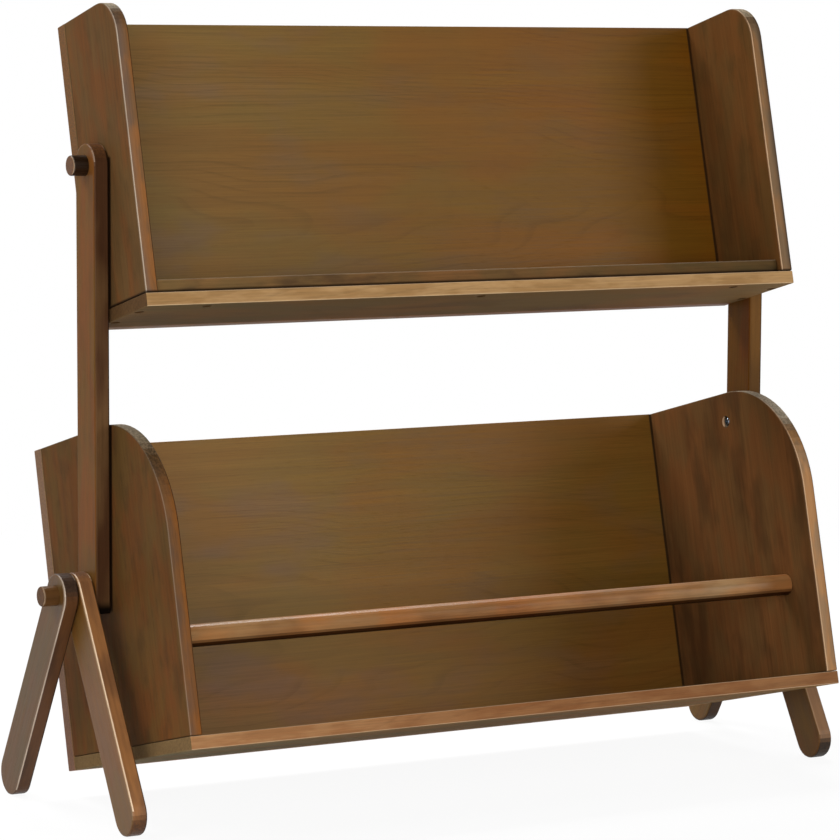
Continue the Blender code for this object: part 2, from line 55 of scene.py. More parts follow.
# The range of noise that each pattern runs through.
PATCH_SPAN, FIBRE_SPAN, BAND_SPAN, PORE_SPAN = (0.38, 0.66), (0.28, 0.72), (0.3, 0.7), (0.60, 0.74)
BLOTCH_SPAN, STAIN_SPAN, EDGE_SPAN = (0.36, 0.64), (0.30, 0.52), (0.40, 0.60)
SPECK_SPAN, WEAR_SPAN = (0.35, 0.65), (0.30, 0.60)
# What is left of late wood and of the worn, highlighted rims where their noise is low, and the specks in
# the painted sheen on tops.
LEAST_LATE, LEAST_WEAR, PALE_SPECKS = 0.15, 0.7, 0.35
# What fibres, pores and end grain add to the roughness.
FIBRE_ROUGH, PORE_ROUGH, END_ROUGH = 0.16, 0.12, 0.06
# The figure's relief: its depth in metres, and late wood and pores against fibres.
RELIEF, LATE_RELIEF, PORE_RELIEF = 0.00003, 0.5, 1.2
# What sets each piece's place in the noise, from its number.
SEED_STEPS, SEED_REACH = (12.9, 7.3, 3.7), 3
# How much lower than the post's top its straight front edge ends.
POST_ROUND = 0.012
# The floor, in metres: half its side, its drop below the feet, and where its shadow fades out.
FLOOR_REACH, FLOOR_DROP, FLOOR_FADE = 9.0, 0.0004, (0.8, 2.2)
# The floor's colour as the rack's light meets it, the colour that takes the shadow as the
# camera sees it, and the glow that makes up the rest of its white.
FLOOR_PAINT, FLOOR_SHADE, FLOOR_GLOW = (0.66, 0.66, 0.66, 1), (0.06, 0.06, 0.06, 1), 0.93
# How strongly the world itself lights the rack.
WORLD_LIGHT = 0.04
# Where the lamps point and how far away they stand, and each one's name, azimuth, elevation,
# size and watts.
LAMP_AIM, LAMP_REACH = (0, 0, 0.45), 4.2
LAMPS = (
    ("key_left", -31, 10, (3.2, 1.8), 112),
    ("key_right", 44, 14, (1.8, 1.8), 68),
    ("left_high", -90, 35, (1.6, 1.6), 46),
    ("rear_left", -150, 50, (1.8, 1.6), 170),
    ("rear_right", 150, 50, (1.8, 1.6), 155),
)


def rgb(red, green, blue):
    """A colour given as 0 to 255, as the scene's linear colour."""

    def linear(value):
        value /= 255
        return value / 12.92 if value <= 0.04045 else ((value + 0.055) / 1.055) ** 2.4

    return (linear(red), linear(green), linear(blue), 1.0)


class Tree:
    """The nodes of a new material or world, added by short calls.

    An input is a number, a colour, a vector or another node's output.
    """

    def __init__(self, owner, output_kind):
        owner.use_nodes = True
        self.owner = owner
        self.tree = owner.node_tree
        self.tree.nodes.clear()
        self.output = self.node(output_kind)

    def put(self, socket, value):
        if isinstance(value, bpy.types.NodeSocket):
            self.tree.links.new(value, socket)
        else:
            socket.default_value = value

    def node(self, kind, inputs=(), **settings):
        made = self.tree.nodes.new("ShaderNode" + kind)
        for key, value in settings.items():
            setattr(made, key, value)
        for key, value in dict(inputs).items():
            self.put(made.inputs[key], value)
        return made

    def math(self, operation, *values):
        return self.node("Math", enumerate(values), operation=operation).outputs[0]

    def times(self, first, *others):
        for other in others:
            first = self.math("MULTIPLY", first, other)
        return first

    def vector(self, operation, *values):
        made = self.node("VectorMath", enumerate(values), operation=operation)
        return made.outputs["Value" if operation in ("DOT_PRODUCT", "LENGTH") else "Vector"]

    def remap(self, value, low, high, to_low=0.0, to_high=1.0, smooth=True):
        made = self.node("MapRange", interpolation_type="SMOOTHSTEP" if smooth else "LINEAR")
        for key, given in enumerate((value, low, high, to_low, to_high)):
            self.put(made.inputs[key], given)
        return made.outputs[0]

    def fall(self, value, low, high):
        """1 up to low, and 0 from high."""
        return self.remap(value, low, high, 1.0, 0.0)

    def mix(self, factor, first, second, blend="MIX"):
        made = self.node("Mix", data_type="RGBA", blend_type=blend)
        for key, given in (("Factor", factor), (6, first), (7, second)):
            self.put(made.inputs[key], given)
        return made.outputs[2]

    def tinted(self, colour, tint):
        return self.mix(1.0, colour, tint, "MULTIPLY")

    def scaled(self, vector, scale, offset=(0, 0, 0)):
        inputs = {"Vector": vector, "Scale": scale, "Location": offset}
        return self.node("Mapping", inputs, vector_type="POINT").outputs[0]

    def noise(self, vector, detail=2.0, roughness=0.5, distortion=0.0, output="Fac"):
        inputs = {
            "Vector": vector,
            "Scale": 1.0,
            "Detail": detail,
            "Roughness": roughness,
            "Distortion": distortion,
        }
        return self.node("TexNoise", inputs, noise_dimensions="3D").outputs[output]

    def bump(self, height, distance):
        return self.node("Bump", {"Strength": 1.0, "Distance": distance, "Height": height}).outputs[0]

    def done(self, shader):
        self.tree.links.new(shader, self.output.inputs["Surface"])
        return self.owner


def material_tree(name):
    return Tree(bpy.data.materials.new(name), "OutputMaterial")


def grain_axes(grain, width):
    """Unit vectors along the grain, across the wide face and through the piece."""
    grain, width = grain.normalized(), width.normalized()
    return grain, width, grain.cross(width)


def tilted(degrees):
    """A trough's two directions: forward along its bottom panel and up along its back panel."""
    a = math.radians(degrees)
    return Vector((0, -math.cos(a), math.sin(a))), Vector((0, math.sin(a), math.cos(a)))


class Wood(Tree):
    """Stained solid wood for one piece. Its rings, fibres and pores run along axes[0].

    look holds its colours and figure, and seed gives it a place of its own in the noise.
    reach holds its lowest and highest place along each axis, seen from origin. touch is
    where a post's front edge meets it, as y and the lowest and highest z.
    """

    def __init__(self, name, look, axes, origin, reach, seed, is_round, touch):
        super().__init__(bpy.data.materials.new(name), "OutputMaterial")
        self.look, self.axes, self.origin, self.reach = look, axes, origin, reach
        self.is_round, self.touch = is_round, touch
        self.shift = Vector([math.sin(seed * step) * SEED_REACH for step in SEED_STEPS])
        coordinates = self.node("TexCoord").outputs
        self.world, self.normal = coordinates["Object"], coordinates["Normal"]
        turn = Matrix(axes).transposed().to_euler()
        place = {"Vector": self.world, "Location": origin, "Rotation": turn}
        self.local = self.node("Mapping", place, vector_type="TEXTURE").outputs[0]
        self.places = self.node("SeparateXYZ", {0: self.local}).outputs

    def facing(self, way):
        return self.vector("DOT_PRODUCT", self.normal, tuple(way))

    def pattern(self, scale, step=1, **settings):
        """Noise in the piece's own axes. step keeps patterns apart from each other."""
        return self.noise(self.scaled(self.local, scale, self.shift * step), **settings)

    def find_faces(self):
        """Which way each bit of surface faces, against the piece's own axes and the room's."""
        look = self.look
        along = self.math("ABSOLUTE", self.facing(self.axes[0]))
        through = self.math("ABSOLUTE", self.facing(self.axes[2]))
        rim_axis = along if self.is_round else through
        self.rim = self.times(self.remap(rim_axis, *RIM_RISE), self.fall(rim_axis, *RIM_FALL))
        self.narrow = 0.0 if self.is_round else self.fall(through, *NARROW_SPAN)
        if look["straight"]:
            low, high = self.reach[1]
            from_middle = self.math("ABSOLUTE", self.math("SUBTRACT", self.places[1], (low + high) / 2))
            half = (high - low) / 2
            long_edge = self.remap(from_middle, half - EDGE_FROM, half - EDGE_FULL)
            self.narrow = self.times(self.narrow, long_edge)
        self.end_grain = self.remap(along, look["end_from"], look["end_from"] + END_SPAN)
        # Rims facing the front left and up to the front get pale wear with a painted highlight; rims
        # facing the front right get painted shade.
        self.worn_and_lit = self.math(
            "MAXIMUM",
            self.remap(self.facing(WORN_LIT_CORNER), *CORNER_SPAN),
            self.remap(self.facing(WORN_LIT_TOP), *TOP_SPAN),
        )
        self.shaded_side = self.remap(self.facing(SHADED_CORNER), *CORNER_SPAN)
        if look["line_on"]:
            endward = self.remap(self.facing(self.axes[0]), *look["line_on"])
            self.worn_and_lit = self.times(self.worn_and_lit, endward)
        self.upward = self.facing(UP)
        self.downward = self.fall(self.upward, *look["under_at"])

    def find_seams(self):
        """Dark joints where the piece butts against its neighbours, partly painted contact shadow, and a
        painted shadow band beside a post.
        """
        seam_shade = 0.0
        for axis, side, inset in self.look["seams"]:
            place = self.reach[axis][side] + (inset if side == 0 else -inset)
            gap = self.math("ABSOLUTE", self.math("SUBTRACT", place, self.places[axis]))
            seam_shade = self.math("MAXIMUM", seam_shade, self.fall(gap, SEAM_CORE, self.look["seam_width"]))
        if self.look["seams_in_front"]:
            seam_shade = self.times(seam_shade, self.remap(self.facing(self.axes[2]), *FRONT_SPAN))
        # A painted shadow band on a side panel, just behind a post's front edge.
        if self.touch:
            face, bottom, top = self.touch
            spot = self.node("SeparateXYZ", {0: self.world}).outputs
            gap = self.math("SUBTRACT", spot[1], face)
            outward = self.facing((math.copysign(1.0, self.origin[0]), 0, 0))
            strip = self.times(
                self.remap(gap, *STRIP_RISE),
                self.fall(gap, *STRIP_FALL),
                self.remap(spot[2], bottom, bottom + STRIP_END),
                self.fall(spot[2], top - STRIP_END, top),
                self.remap(outward, *OUTER_SPAN),
            )
            seam_shade = self.math("MAXIMUM", seam_shade, strip)
        self.seam_shade = seam_shade

    def grow(self):
        """Growth rings round a pith beside the board, bent by slow noise, and the finer figure."""
        look = self.look
        bends = self.pattern(look["bend_scale"], output="Color")
        bent = self.vector("MULTIPLY_ADD", bends, (0, look["bend"], look["bend"]), self.local)
        small_bends = self.pattern(SMALL_BENDS, detail=1.0, output="Color")
        bent = self.vector("MULTIPLY_ADD", small_bends, (0, SMALL_BEND, SMALL_BEND), bent)
        from_pith = self.vector("MULTIPLY_ADD", bent, (0, 1, 1), (0, *look["pith"]))
        radius = self.vector("LENGTH", from_pith)
        radius = self.math("MULTIPLY_ADD", self.places[0], look["taper"], radius)
        phase = self.math("FRACT", self.math("DIVIDE", radius, look["ring"]))
        late = self.times(self.remap(phase, look["late_from"], LATE_FULL), self.fall(phase, *LATE_END))
        patches = self.pattern(PATCHES, step=2)
        self.late = self.times(late, self.remap(patches, *PATCH_SPAN, LEAST_LATE, 1.0))
        fibres = self.pattern(look["fibre_scale"], detail=3.0, roughness=0.6)
        self.fibres = self.remap(fibres, *FIBRE_SPAN, smooth=False)
        bands = self.pattern(look["band_scale"], step=3, detail=3.0, roughness=0.55)
        self.bands = self.remap(bands, *BAND_SPAN, smooth=False)
        self.pores = self.remap(self.pattern(PORES, detail=1.0), *PORE_SPAN)
        self.blotch = self.pattern(look["blotch_scale"], step=5, detail=3.0, distortion=0.3)
        self.mottle = self.pattern(look["mottle_scale"], step=7, detail=3.0, roughness=0.55)

    def stained(self):
        """The stain's own colour on wide faces, narrow faces and end grain, with painted light and shade
        across narrow faces and a painted sheen on tops.
        """
        look = self.look
        colour = self.mix(self.remap(self.blotch, *BLOTCH_SPAN), look["cool"], look["warm"])
        stain = self.remap(self.mottle, *STAIN_SPAN, look["stain"], 0.0)
        colour = self.mix(stain, colour, look["dark"])
        if not self.is_round:
            patchy = self.pattern(look["edge_scale"], step=4, detail=3.0, roughness=0.6)
            tone = self.mix(self.remap(patchy, *EDGE_SPAN), look["edge"], look["edge_dark"])
            low, high = self.reach[2]
            across = self.remap(self.places[2], low + look["cross_at"] * (high - low), high)
            tone = self.tinted(tone, self.mix(across, look["cross_from"], look["cross_to"]))
            colour = self.mix(self.narrow, colour, tone)
        speckled = self.remap(self.pattern(SPECKS, roughness=0.6), *SPECK_SPAN)
        colour = self.mix(self.end_grain, colour, self.mix(speckled, look["end"], look["end_dark"]))
        # A painted sheen: tops of narrow faces that face up turn pale.
        if look["pale"]:
            topmost = self.remap(self.upward, look["pale_from"], look["pale_from"] + ARC_SPAN)
            paleness = self.math("MULTIPLY_ADD", speckled, -PALE_SPECKS, look["pale"])
            colour = self.mix(self.times(topmost, paleness, self.narrow), colour, look["arc"])
        return colour

    def figured(self, colour):
        """The colour darkened or lightened by bands, fibres, late wood and pores."""
        look = self.look
        shade = self.math("MULTIPLY_ADD", self.bands, 2 * look["bands"], 1.0 - look["bands"])
        shade = self.math("SUBTRACT", shade, look["fibres"])
        shade = self.math("MULTIPLY_ADD", self.fibres, 2 * look["fibres"], shade)
        shade = self.math("MULTIPLY_ADD", self.late, -look["rings"], shade)
        shade = self.math("MULTIPLY_ADD", self.pores, -look["pores"], shade)
        return self.tinted(colour, self.node("CombineColor", {0: shade, 1: shade, 2: shade}).outputs[0])

    def toned(self, colour):
        """Painted light and shade in broad tints: the underside, a drift along the piece, its low side
        and its far end.
        """
        look = self.look
        low, high = self.reach[0]
        middle = (low + high) / 2
        place = self.places[0]
        under = self.mix(self.remap(place, low, high, smooth=False), look["under"], look["under_to"])
        colour = self.mix(self.downward, colour, self.tinted(colour, under))
        first_half = self.remap(place, low, middle, smooth=False)
        second_half = self.remap(place, middle, high, smooth=False)
        drift = self.mix(first_half, look["from_tint"], look["mid_tint"])
        colour = self.tinted(colour, self.mix(second_half, drift, look["to_tint"]))
        if look["low_tint"]:
            base, crown = self.reach[1]
            rise = self.remap(self.places[1], base, base + LOW_SHARE * (crown - base))
            colour = self.tinted(colour, self.mix(rise, look["low_tint"], WHITE))
        if look["last_tint"]:
            nearing = self.remap(place, high - LAST_FROM, high - LAST_FULL)
            colour = self.tinted(colour, self.mix(nearing, WHITE, look["last_tint"]))
        return colour

    def worn_and_shaded(self, colour):
        """Rims worn pale with a painted highlight, painted shade on rims facing the front right, and the
        dark seams with their painted shadow.
        """
        look = self.look
        uneven = self.remap(self.mottle, *WEAR_SPAN, LEAST_WEAR, 1.0)
        worn = self.times(self.rim, self.worn_and_lit, uneven, look["wear"])
        colour = self.mix(worn, colour, look["worn"])
        # Painted shade on rims facing the front right, then the dark seams and painted shadow.
        pooled = self.times(self.rim, self.shaded_side, look["pooled"])
        pooled = self.math("MAXIMUM", pooled, self.times(self.seam_shade, look["seam_depth"]))
        return self.mix(pooled, colour, look["pool"])

    def lacquered(self, colour):
        """Satin lacquer: a little rougher in the pores and on end grain."""
        least = self.look["rough"] - FIBRE_ROUGH / 2
        rough = self.math("MULTIPLY_ADD", self.fibres, FIBRE_ROUGH, least)
        rough = self.math("MULTIPLY_ADD", self.pores, PORE_ROUGH, rough)
        rough = self.math("MULTIPLY_ADD", self.end_grain, END_ROUGH, rough)
        height = self.math("MULTIPLY_ADD", self.late, -LATE_RELIEF, self.fibres)
        height = self.math("MULTIPLY_ADD", self.pores, -PORE_RELIEF, height)
        inputs = {
            "Base Color": colour,
            "Roughness": rough,
            "Normal": self.bump(height, RELIEF),
            "Specular IOR Level": self.look["specular"],
        }
        return self.node("BsdfPrincipled", inputs).outputs[0]

    def finished(self):
        self.find_faces()
        self.find_seams()
        self.grow()
        colour = self.worn_and_shaded(self.toned(self.figured(self.stained())))
        return self.done(self.lacquered(colour))


# What every wood starts from. Each look adds the colours of its wide faces, in cool and warm
# blotches with dark stains, the colour of its end grain and its roughness.
PLAIN = {
    # Narrow faces: two colours, and a tint through the thickness from cross_at of it (painted light and
    # shade on side panels).
    # On a straight panel only its long edges count as narrow, and not its holes.
    "edge": rgb(140, 95, 55),
    "edge_dark": rgb(115, 76, 45),
    "edge_scale": (14, 60, 60),
    "cross_from": WHITE,
    "cross_to": WHITE,
    "cross_at": 0.0,
    "straight": False,
    # End grain: its darker specks, and how squarely a face has to cut the grain to show it.
    "end_dark": rgb(48, 34, 24),
    "end_from": 0.45,
    # A painted sheen on the tops of rounded edges: how pale, from which way of facing up, and its colour.
    "pale": 0.0,
    "pale_from": 0.80,
    "arc": rgb(152, 138, 114),
    # Painted light and shade, as tints: the underside from end to end, the piece from its low end over
    # its middle to its far end, the low side, and the last stretch before the far end.
    "under": WHITE,
    "under_to": WHITE,
    "under_at": (-0.8, -0.1),
    "from_tint": WHITE,
    "mid_tint": WHITE,
    "to_tint": WHITE,
    "low_tint": None,
    "last_tint": None,
    # Rims: pale wear with a painted highlight, where along the grain it faces, and painted shade.
    "worn": rgb(228, 202, 168),
    "wear": 0.5,
    "line_on": None,
    "pooled": 0.0,
    "pool": rgb(22, 13, 8),
    # Seams, partly dark joints and partly painted shadow: each an axis, its low or high side and an inset
    # from there.
    "seams": (),
    "seam_width": 0.0020,
    "seam_depth": 0.85,
    "seams_in_front": False,
    # Figure: how strong each pattern is, its size in metres or its noise scale.
    "stain": 0.4,
    "rings": 0.10,
    "ring": 0.0070,
    "late_from": 0.55,
    "pith": (0.05, 0.06),
    "taper": 0.02,
    "bend": 0.03,
    "bend_scale": (1.6, 6, 6),
    "fibres": 0.12,
    "fibre_scale": (7, 330, 330),
    "bands": 0.10,
    "band_scale": (1.5, 60, 60),
    "pores": 0.12,
    "blotch_scale": (4, 12, 12),
    "mottle_scale": (5, 14, 14),
    "specular": 0.2,
}
BACK = {
    **PLAIN,
    "cool": rgb(104, 77, 33),
    "warm": rgb(108, 74, 30),
    "dark": rgb(98, 74, 48),
    "edge": rgb(120, 80, 40),
    "edge_dark": rgb(104, 68, 34),
    "end": rgb(97, 57, 17),
    "end_dark": rgb(80, 48, 15),
    "seams": ((0, 0, 0.0155), (0, 1, 0.0155)),
    "seams_in_front": True,
    "seam_width": 0.0024,
    # Painted light: the lower part of the panel is brightened.
    "low_tint": (1.20, 1.23, 1.34, 1),
    "stain": 0.55,
    "rings": 0.115,
    "ring": 0.0064,
    "late_from": 0.66,
    "fibres": 0.13,
    "fibre_scale": (9, 700, 700),
    "bands": 0.06,
    "pores": 0.10,
    "pith": (0.02, 0.09),
    "bend": 0.065,
    "bend_scale": (2.6, 7, 7),
    "taper": 0.05,
    "blotch_scale": (6, 14, 14),
    "mottle_scale": (7, 18, 18),
    # Painted light and shade along the panel: lighter at its left end, much darker towards its right end.
    "from_tint": (1.12, 1.31, 1.84, 1),
    "mid_tint": (0.99, 0.93, 0.70, 1),
    "to_tint": (0.97, 0.71, 0.18, 1),
    "rough": 0.50,
    "wear": 0.05,
    "specular": 0.13,
}
LOWER_BACK = {
    **BACK,
    # Painted light and shade, as on the upper back panel but stronger.
    "low_tint": (1.34, 1.23, 1.42, 1),
    "end": rgb(92, 62, 32),
    "end_dark": rgb(80, 54, 28),
    "from_tint": (1.52, 1.76, 2.95, 1),
    "mid_tint": (1.08, 1.09, 1.02, 1),
    "to_tint": (0.96, 0.89, 0.62, 1),
}
BOTTOM = {
    **BACK,
    "cool": rgb(72, 52, 27),
    "warm": rgb(80, 52, 25),
    "dark": rgb(60, 42, 24),
    # Painted light: the underside is brightened.
    "under": (1.74, 2.18, 2.71, 1),
    "under_to": (2.83, 3.17, 3.41, 1),
    "edge": rgb(163, 128, 85),
    "edge_dark": rgb(147, 112, 70),
    "end": rgb(82, 57, 30),
    "end_dark": rgb(72, 50, 26),
    "edge_scale": (16, 60, 60),
    "straight": True,
    "from_tint": WHITE,
    "mid_tint": WHITE,
    "to_tint": WHITE,
    "low_tint": None,
    "seams": (),
    "seams_in_front": False,
    "rough": 0.85,
    "specular": 0.12,
    "wear": 0.4,
}
LOWER_BOTTOM = {
    **BOTTOM,
    "edge": rgb(140, 94, 57),
    "edge_dark": rgb(129, 82, 47),
    "end": rgb(96, 68, 38),
    "end_dark": rgb(88, 62, 34),
    "edge_scale": (14, 50, 50),
    # Painted light: a brighter underside, and lighter towards the left end.
    "under_to": (4.2, 4.2, 3.6, 1),
    "from_tint": (1.38, 1.68, 1.98, 1),
    "mid_tint": (0.92, 0.94, 0.94, 1),
    "to_tint": (0.84, 0.92, 1.0, 1),
}
SIDE = {
    **PLAIN,
    "cool": rgb(88, 64, 37),
    "warm": rgb(95, 61, 33),
    "dark": rgb(70, 53, 31),
    "edge": rgb(128, 88, 54),
    "edge_dark": rgb(106, 81, 60),
    "end": rgb(82, 60, 36),
    "end_dark": rgb(54, 40, 24),
    "end_from": 0.22,
    # Painted light and shade across the narrow faces, a painted sheen on the top arcs, and painted shade
    # on rims facing the front right.
    "cross_from": (0.90, 1.02, 1.30, 1),
    "cross_to": (1.14, 0.96, 0.66, 1),
    "pale": 0.65,
    "pooled": 0.7,
    "seams": ((0, 0, 0.0), (1, 0, 0.0)),
    "seam_width": 0.0034,
    "stain": 0.50,
    "blotch_scale": (15, 36, 36),
    "mottle_scale": (20, 44, 44),
    "band_scale": (6, 60, 60),
    "rings": 0.08,
    "bands": 0.07,
    "rough": 0.52,
    "specular": 0.015,
    "worn": rgb(206, 190, 170),
    "wear": 0.55,
}
LOWER_LEFT_SIDE = {
    **SIDE,
    "cool": rgb(83, 60, 31),
    "warm": rgb(90, 56, 28),
    "dark": rgb(63, 46, 26),
    "edge": rgb(108, 72, 40),
    "edge_dark": rgb(94, 67, 45),
    # Painted light: lighter towards its bottom.
    "from_tint": (1.25, 1.18, 1.15, 1),
    "seams": ((1, 0, 0.0),),
    "wear": 0.12,
}
UPPER_RIGHT_SIDE = {
    **SIDE,
    "cool": rgb(83, 57, 28),
    "warm": rgb(89, 56, 26),
    "dark": rgb(68, 47, 23),
    "edge": rgb(125, 91, 60),
    "edge_dark": rgb(108, 86, 64),
    # Painted shade: the narrow faces darken over the outer part of their thickness.
    "cross_from": (1.08, 1.08, 1.05, 1),
    "cross_to": (0.36, 0.42, 0.54, 1),
    "cross_at": 0.45,
    "pale_from": 0.70,
    "worn": rgb(224, 188, 152),
}
LOWER_RIGHT_SIDE = {
    **UPPER_RIGHT_SIDE,
    "cool": rgb(93, 65, 36),
    "warm": rgb(100, 64, 34),
    "dark": rgb(66, 44, 25),
    "stain": 0.62,
    "mottle_scale": (9, 24, 24),
    "edge": rgb(160, 117, 78),
    "edge_dark": rgb(140, 110, 82),
    # A stronger painted sheen on the top arcs, and milder painted shade across the narrow faces.
    "pale": 0.75,
    "arc": rgb(166, 154, 134),
    "seams": ((1, 0, 0.0),),
    "cross_to": (0.80, 0.78, 0.74, 1),
}
BAR = {
    **SIDE,
    "cool": rgb(98, 68, 27),
    "warm": rgb(104, 65, 24),
    "dark": rgb(78, 52, 23),
    "edge": rgb(144, 97, 56),
    "edge_dark": rgb(116, 78, 48),
    "edge_scale": (10, 30, 30),
    "cross_from": WHITE,
    "cross_to": WHITE,
    "pale": 0.0,
    "end": rgb(92, 58, 30),
    "end_dark": rgb(72, 46, 28),
    "end_from": 0.25,
    # The pale line on the rims, wear with a painted highlight, stops where the foot arc begins.
    "line_on": (0.10, 0.30, 1.0, 0.0),
    "seams": (),
    "stain": 0.3,
    "rough": 0.38,
    "specular": 0.19,
    "worn": rgb(232, 205, 172),
    "wear": 0.85,
}
RIGHT_BAR = {
    **BAR,
    "cool": rgb(97, 67, 20),
    "warm": rgb(101, 63, 17),
    "edge": rgb(154, 110, 70),
    "edge_dark": rgb(122, 88, 58),
    "end": rgb(56, 42, 30),
    "end_dark": rgb(42, 33, 26),
    "end_from": 0.15,
    # Painted shade on rims facing the front right.
    "pooled": 0.3,
    "specular": 0.12,
    "wear": 0.2,
}
RIGHT_REAR = {
    **RIGHT_BAR,
    "cool": rgb(96, 71, 32),
    "warm": rgb(100, 68, 28),
    "edge": rgb(84, 56, 28),
    "edge_dark": rgb(70, 46, 24),
    # Painted shade: a darker underside.
    "under": (0.4, 0.35, 0.3, 1),
    "under_to": (0.4, 0.35, 0.3, 1),
    "pooled": 0.0,
    "wear": 0.0,
}
POST = {
    **BAR,
    "cool": rgb(94, 64, 27),
    "warm": rgb(101, 60, 24),
    "edge": rgb(89, 63, 38),
    "edge_dark": rgb(66, 41, 24),
    "edge_scale": (5, 14, 14),
    # Painted shadow: the post turns near black at its foot, fading out over its lowest 16 mm.
    "seams": ((0, 0, 0.0), (0, 0, 0.004)),
    "seam_width": 0.0125,
    "seam_depth": 0.98,
    "pool": rgb(4, 3, 2),
    # The pale rim line, wear with a painted highlight, shows only on the top arc.
    "line_on": (0.05, 0.25, 0.0, 1.0),
    "specular": 0.04,
    "worn": rgb(186, 160, 138),
    "wear": 0.5,
}
RIGHT_POST = {
    **POST,
    "cool": rgb(84, 52, 12),
    "warm": rgb(90, 48, 10),
    "dark": rgb(66, 40, 11),
    "edge": rgb(98, 66, 30),
    "edge_dark": rgb(80, 54, 26),
}
REAR = {
    **BAR,
    "cool": rgb(79, 57, 25),
    "warm": rgb(84, 54, 22),
    "edge": rgb(85, 53, 28),
    "edge_dark": rgb(68, 43, 23),
    "end": rgb(58, 41, 28),
    "end_dark": rgb(46, 32, 23),
    "end_from": 0.35,
    "worn": rgb(188, 170, 152),
    "specular": 0.17,
}
LIP = {
    **SIDE,
    "pale": 0.0,
    "cross_from": WHITE,
    "cross_to": WHITE,
    "cool": rgb(94, 68, 38),
    "warm": rgb(104, 70, 38),
    "dark": rgb(66, 46, 28),
    "edge": rgb(110, 82, 50),
    "edge_dark": rgb(94, 68, 42),
    "stain": 0.8,
    "mottle_scale": (12, 40, 40),
    # Painted light and shade along the lip: lighter at its left end, darker at its right.
    "from_tint": (1.40, 1.62, 1.79, 1),
    "mid_tint": (1.16, 1.21, 1.32, 1),
    "to_tint": (0.55, 0.72, 0.78, 1),
    "pooled": 0.0,
    # Painted shadow: a dark band along its bottom, where it stands on the bottom panel.
    "seams": ((1, 0, 0.0012),),
    "seam_width": 0.0036,
    "wear": 0.5,
}
RAIL = {
    **BAR,
    "cool": rgb(122, 87, 50),
    "warm": rgb(130, 84, 42),
    "dark": rgb(98, 63, 31),
    # Painted light and shade along the rail: lighter towards both ends, darker in its last stretch before
    # the right end.
    "from_tint": (1.43, 1.56, 1.80, 1),
    "mid_tint": (1.06, 0.96, 0.95, 1),
    "to_tint": (1.48, 1.86, 2.60, 1),
    "last_tint": (0.92, 0.74, 0.60, 1),
    "stain": 0.7,
    "mottle_scale": (9, 20, 20),
    # Painted shade: a near-black underside.
    "under": (0.10, 0.06, 0.03, 1),
    "under_to": (0.10, 0.06, 0.03, 1),
    "under_at": (-0.66, -0.12),
    # Dark joints at both ends, widened into painted shadow.
    "seams": ((0, 0, 0.0), (0, 1, 0.0)),
    "seam_width": 0.0045,
    "pith": (0.03, 0.03),
    "bend": 0.01,
    "rough": 0.34,
    "specular": 0.10,
}
PEG = {
    **BAR,
    "cool": rgb(76, 51, 24),
    "warm": rgb(88, 57, 27),
    "dark": rgb(56, 38, 19),
    "end": rgb(84, 53, 26),
    "end_dark": rgb(70, 46, 24),
    "pith": (0.02, 0.02),
    "bend": 0.004,
    "specular": 0.09,
    "wear": 0.25,
}
DARK_PEG = {
    **PEG,
    # Painted shade: its sides are far darker than the lower peg's, while its end keeps the usual colour.
    "cool": rgb(33, 20, 9),
    "warm": rgb(40, 23, 10),
    "dark": rgb(22, 14, 7),
    "end": rgb(90, 52, 13),
    "end_dark": rgb(76, 45, 13),
    "rough": 0.27,
    "specular": 0.13,
    "wear": 0.3,
}
DOWEL = {
    **PLAIN,
    "cool": rgb(196, 166, 124),
    "warm": rgb(204, 170, 126),
    "dark": rgb(180, 146, 104),
    "end": rgb(170, 136, 96),
    "pith": (0.02, 0.02),
    "bend": 0.004,
    "rough": 0.7,
}

# Noise scales of the hardware, in features per metre, and the range that its patches run through.
TURNING, DULLED, FELTED, HARDWARE_SPAN = (900, 900, 900), (160, 160, 160), (700, 700, 700), (0.35, 0.65)


def steel(name, light, dark):
    """Plated steel with fine turning marks."""
    t = material_tree(name)
    spot = t.node("TexCoord").outputs["Object"]
    marks = t.noise(t.scaled(spot, TURNING), detail=3.0, roughness=0.6)
    patches = t.noise(t.scaled(spot, DULLED))
    inputs = {
        "Base Color": t.mix(t.remap(patches, *HARDWARE_SPAN), dark, light),
        "Roughness": t.math("MULTIPLY_ADD", marks, 0.18, 0.16),
        "Metallic": 1.0,
        "Normal": t.bump(marks, 0.00001),
    }
    return t.done(t.node("BsdfPrincipled", inputs).outputs[0])


def fibre():
    """Dark vulcanised-fibre washers: matt, with a short felted texture."""
    t = material_tree("dark_fibre")
    felt = t.scaled(t.node("TexCoord").outputs["Object"], FELTED)
    felt = t.noise(felt, detail=4.0, roughness=0.7)
    inputs = {
        "Base Color": t.mix(t.remap(felt, *HARDWARE_SPAN), rgb(24, 18, 14), rgb(40, 30, 24)),
        "Roughness": t.math("MULTIPLY_ADD", felt, 0.2, 0.72),
        "Normal": t.bump(felt, 0.00005),
    }
    return t.done(t.node("BsdfPrincipled", inputs).outputs[0])


def trough_axes(name):
    """A trough panel's axes. Side panels have upright grain, the others have it from side to side."""
    forward, upward = tilted(UPPER_TILT if "upper" in name else LOWER_TILT)
    if "side" in name:
        return grain_axes(upward, forward)
    return grain_axes(X_AXIS, forward if "bottom" in name else upward)


def leg_axes(name):
    a = math.radians(LEG_SPLAY)
    ahead = -1 if "front" in name else 1
    along = Vector((0, ahead * math.sin(a), -math.cos(a)))
    return grain_axes(along, Vector((0, ahead * math.cos(a), math.sin(a))))


def piece_axes(name):
    if "leg" in name:
        return leg_axes(name)
    if "post" in name:
        return grain_axes(Z_AXIS, Y_AXIS)
    if "peg" in name or "rail" in name or "dowel" in name:
        return grain_axes(X_AXIS, Y_AXIS)
    return trough_axes(name)


